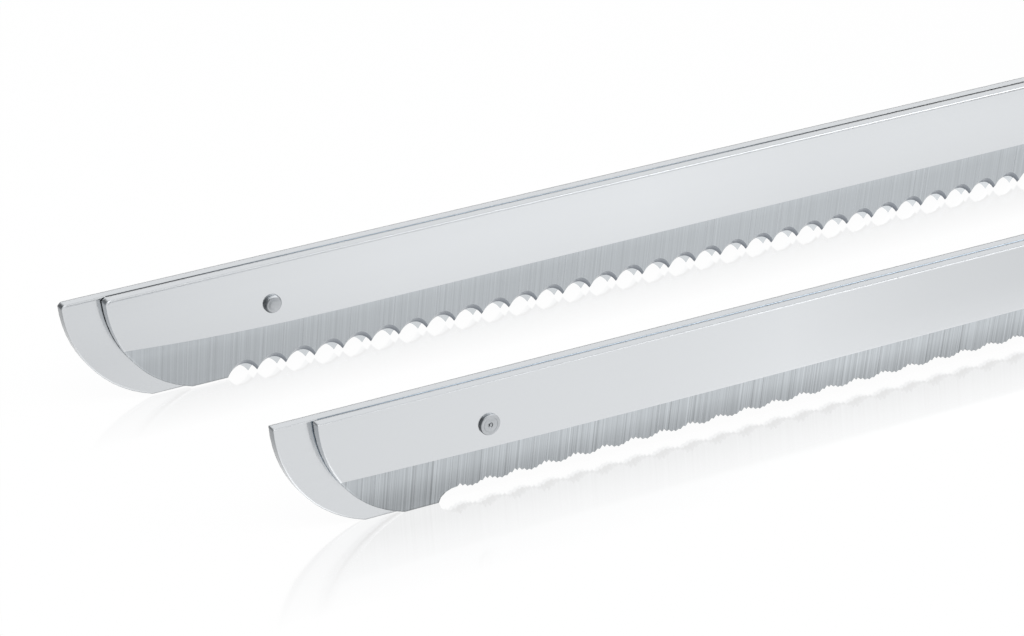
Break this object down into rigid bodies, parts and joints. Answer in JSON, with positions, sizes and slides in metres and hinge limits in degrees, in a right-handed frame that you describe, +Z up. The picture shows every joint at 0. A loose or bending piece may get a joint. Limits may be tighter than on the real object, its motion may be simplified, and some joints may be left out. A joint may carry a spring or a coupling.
{
  "type": "electric carving knife",
  "caption": "Electric carving knife with reciprocating twin blades in a motor handle with worm drive and trigger, and a spare fine-toothed twin blade beside it.",
  "frame": {"origin": "on the table, on the front foot's rest face, under the axle of the worm wheel and in the handle's middle plane", "axes": "+X from the blade tips to the back of the handle, +Y to the knife's right, +Z up"},
  "size_m": [0.4439, 0.0822, 0.0653],
  "materials": {
    "blade_steel": "flat faces polished lengthwise, lower bevel ground across",
    "rivet_steel": "turned, satin",
    "shank_plastic": "moulded, fine matte",
    "carrier_plastic": "unfilled nylon",
    "guide_plastic": "oil-filled nylon",
    "frame_metal": "die cast",
    "axle_steel": "ground",
    "wheel_plastic": "moulded acetal",
    "core_steel": "stacked laminations",
    "copper": "lacquered winding wire",
    "commutator_copper": "turned copper bars",
    "fan_plastic": "moulded",
    "bronze": "sintered bronze",
    "holder_brass": "pressed sheet",
    "carbon": "pressed carbon",
    "spring_steel": "drawn wire",
    "switch_plastic": "moulded",
    "plunger_plastic": "moulded",
    "trigger_plastic": "moulded, semi-gloss",
    "button_plastic": "moulded, semi-gloss",
    "bracket_steel": "pressed sheet",
    "capacitor_film": "dipped film capacitor",
    "terminal_plastic": "moulded nylon",
    "wire_insulation": "extruded",
    "housing_plastic": "moulded with a fine spark-eroded texture",
    "trim_steel": "brushed lengthwise",
    "grip_rubber": "soft, ribbed",
    "foot_rubber": "moulded",
    "inlet_rubber": "moulded",
    "screw_steel": "zinc plated"
  },
  "bodies": {
    "handle": {"fine_blade_left": "blade_steel", "fine_rivet": "rivet_steel", "fine_shank_left": "shank_plastic", "carrier_guide": "guide_plastic", "gear_frame": "frame_metal", "gear_axle": "axle_steel", "front_bearing": "bronze", "middle_bearing": "bronze", "rear_bearing": "bronze", "rear_motor_bracket": "frame_metal", "stator_core": "core_steel", "stator_coils": "copper", "brush_holders": "holder_brass", "carbon_brushes": "carbon", "brush_springs": "spring_steel", "microswitch": "switch_plastic", "trigger_bracket": "bracket_steel", "trigger_pin": "axle_steel", "trigger_spring": "spring_steel", "release_spring_left": "spring_steel", "release_spring_right": "spring_steel", "capacitor": "capacitor_film", "terminal_block": "terminal_plastic", "internal_wires": "wire_insulation", "housing_left": "housing_plastic", "housing_right": "housing_plastic", "nose_collar": "trim_steel", "rear_cap": "housing_plastic", "top_trim": "trim_steel", "grip_pad": "grip_rubber", "front_foot": "foot_rubber", "rear_foot": "foot_rubber", "cord_inlet": "inlet_rubber", "housing_screws": "screw_steel"},
    "left_drive": {"carving_blade_left": "blade_steel", "carving_rivet": "rivet_steel", "carving_shank_left": "shank_plastic", "blade_carrier_left": "carrier_plastic"},
    "right_drive": {"carving_blade_right": "blade_steel", "carving_shank_right": "shank_plastic", "blade_carrier_right": "carrier_plastic"},
    "wheel": {"worm_wheel": "wheel_plastic"},
    "armature": {"motor_shaft": "axle_steel", "worm": "axle_steel", "armature_core": "core_steel", "armature_windings": "copper", "commutator": "commutator_copper", "cooling_fan": "fan_plastic"},
    "trigger_lever": {"trigger": "trigger_plastic"},
    "plunger": {"switch_plunger": "plunger_plastic"},
    "lock": {"lock_slider": "button_plastic"},
    "left_button": {"release_button_left": "button_plastic"},
    "right_button": {"release_button_right": "button_plastic"},
    "spare_right_blade": {"fine_blade_right": "blade_steel", "fine_shank_right": "shank_plastic"}
  },
  "joints": [
    {"name": "drive_left", "type": "slide", "parent": "handle", "child": "left_drive", "axis": [1, 0, 0], "range_m": [-0.0064, 0]},
    {"name": "drive_right", "type": "slide", "parent": "handle", "child": "right_drive", "axis": [1, 0, 0], "range_m": [0, 0.0064]},
    {"name": "armature_spin", "type": "hinge", "parent": "handle", "child": "armature", "pos_m": [0.06, 0, 0.0381], "axis": [1, 0, 0], "continuous": true},
    {"name": "wheel_spin", "type": "hinge", "parent": "handle", "child": "wheel", "pos_m": [0, 0, 0.022], "axis": [0, 1, 0], "continuous": true},
    {"name": "trigger_hinge", "type": "hinge", "parent": "handle", "child": "trigger_lever", "pos_m": [0.07, 0, 0.0124], "axis": [0, 1, 0], "range_deg": [0, 3], "stiffness_Nm_per_rad": 1.2, "springref_deg": -6.88, "deforming": ["trigger_spring"]},
    {"name": "switch_plunger_slide", "type": "slide", "parent": "handle", "child": "plunger", "axis": [0, 0, 1], "range_m": [0, 0.0025]},
    {"name": "lock_slide", "type": "slide", "parent": "handle", "child": "lock", "axis": [1, 0, 0], "range_m": [0, 0.006]},
    {"name": "release_left", "type": "slide", "parent": "handle", "child": "left_button", "axis": [0, 1, 0], "range_m": [0, 0.002], "stiffness_N_per_m": 600, "deforming": ["release_spring_left"]},
    {"name": "release_right", "type": "slide", "parent": "handle", "child": "right_button", "axis": [0, -1, 0], "range_m": [0, 0.002], "stiffness_N_per_m": 600, "deforming": ["release_spring_right"]},
    {"name": "spare_blade_slide", "type": "slide", "parent": "handle", "child": "spare_right_blade", "axis": [1, 0, 0], "range_m": [0, 0.012]}
  ],
  "couplings": [
    {"joint": "drive_right", "follows": "drive_left", "ratio": -1},
    {"joint": "wheel_spin", "follows": "armature_spin", "ratio": -0.041667},
    {"joint": "switch_plunger_slide", "follows": "trigger_hinge", "m_per_rad": 0.0447}
  ]
}
